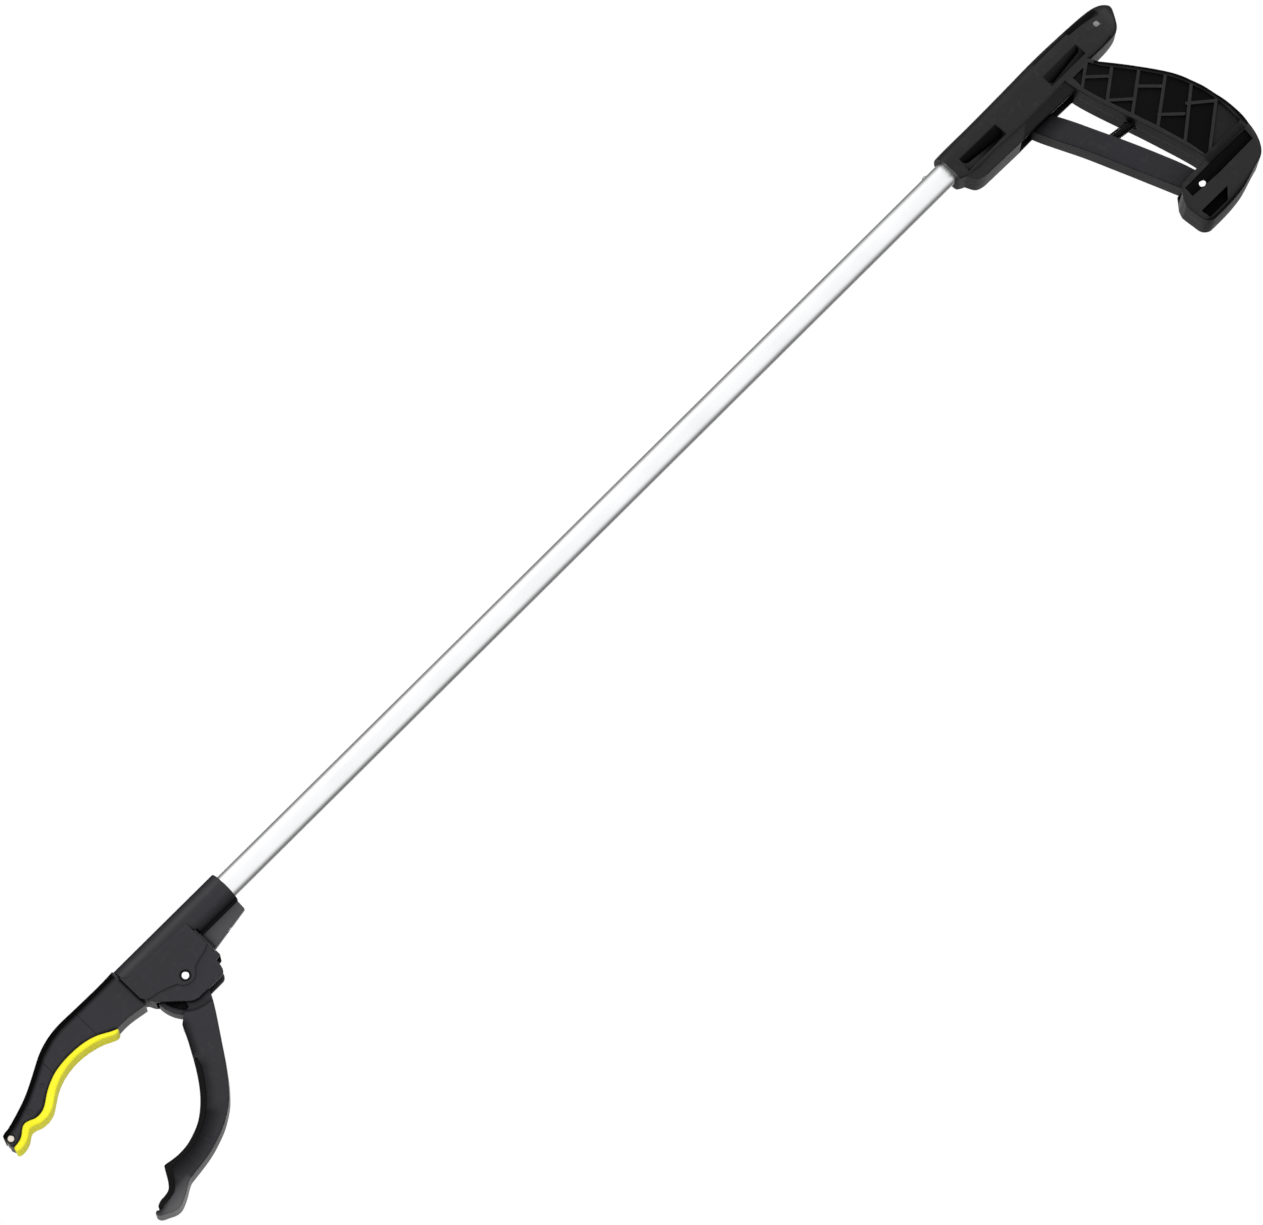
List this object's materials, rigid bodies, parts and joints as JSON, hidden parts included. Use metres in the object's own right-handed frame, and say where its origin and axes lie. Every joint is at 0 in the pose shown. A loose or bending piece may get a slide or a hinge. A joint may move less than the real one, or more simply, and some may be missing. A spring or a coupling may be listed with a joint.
{
  "type": "reacher grabber",
  "caption": "Pistol-grip reacher grabber: long aluminium tube, hinged trigger, internal pull rod, one fixed rubber-lined jaw and one pivoting jaw, magnet in the tip.",
  "frame": {"origin": "on the axis of the tube, in the plane of the handle's mouth, where the tube enters the handle", "axes": "+X along the tube towards the jaws, +Z away from the grip, +Y to the left when holding it and looking at the jaws"},
  "size_m": [0.812, 0.0238, 0.1262],
  "materials": {
    "handle_black": "satin moulded black plastic with fine grain",
    "trigger_black": "satin moulded bluish black plastic",
    "head_black": "satin moulded bluish black plastic",
    "rod_end_black": "moulded plastic",
    "guide_white": "natural low-friction plastic",
    "tube_aluminium": "bright anodised, drawn lengthwise",
    "rod_steel": "drawn",
    "pin_steel": "polished",
    "screw_steel": "zinc plated",
    "spring_steel": "plain",
    "spring_dark": "black phosphated",
    "magnet_nickel": "nickel plated",
    "liner_yellow": "smooth soft rubber",
    "pad_black": "smooth soft rubber"
  },
  "bodies": {
    "frame": {"handle_shell_left": "handle_black", "handle_shell_right": "handle_black", "handle_screws": "screw_steel", "main_tube": "tube_aluminium", "tube_anchor_pin": "pin_steel", "rear_rod_guide": "guide_white", "guide_rivet": "tube_aluminium", "front_rod_guide": "guide_white", "head_body": "head_black", "head_anchor_screw": "screw_steel", "fixed_jaw": "head_black", "jaw_joint_screw": "screw_steel", "fixed_jaw_liner": "liner_yellow", "tip_magnet": "magnet_nickel", "jaw_pivot_pin": "pin_steel", "jaw_pin_retainer": "spring_steel", "trigger_pivot_pin": "pin_steel", "trigger_pin_retainer": "spring_steel", "trigger_return_spring": "spring_dark"},
    "trigger": {"trigger": "trigger_black"},
    "pull_rod": {"pull_rod": "rod_steel", "rear_rod_end": "rod_end_black", "rear_link_pin": "pin_steel", "front_rod_end": "rod_end_black", "rod_lock_nut": "screw_steel", "front_link_pin": "pin_steel"},
    "moving_jaw": {"moving_jaw": "head_black", "moving_jaw_pad": "pad_black"}
  },
  "joints": [
    {"name": "trigger_pivot", "type": "hinge", "parent": "frame", "child": "trigger", "pos_m": [-0.084, 0, -0.0992], "axis": [0, -1, 0], "range_deg": [0, 6.51], "deforming": ["trigger_return_spring"]},
    {"name": "rod_slide", "type": "slide", "parent": "frame", "child": "pull_rod", "axis": [-1, 0, 0], "range_m": [0, 0.01246]},
    {"name": "jaw_pivot", "type": "hinge", "parent": "frame", "child": "moving_jaw", "pos_m": [0.5672, 0, -0.019], "axis": [0, -1, 0], "range_deg": [0, 36.31]}
  ],
  "couplings": [
    {"joint": "rod_slide", "follows": "trigger_pivot", "m_per_rad": 0.10959},
    {"joint": "jaw_pivot", "follows": "trigger_pivot", "ratio": 5.5735}
  ]
}
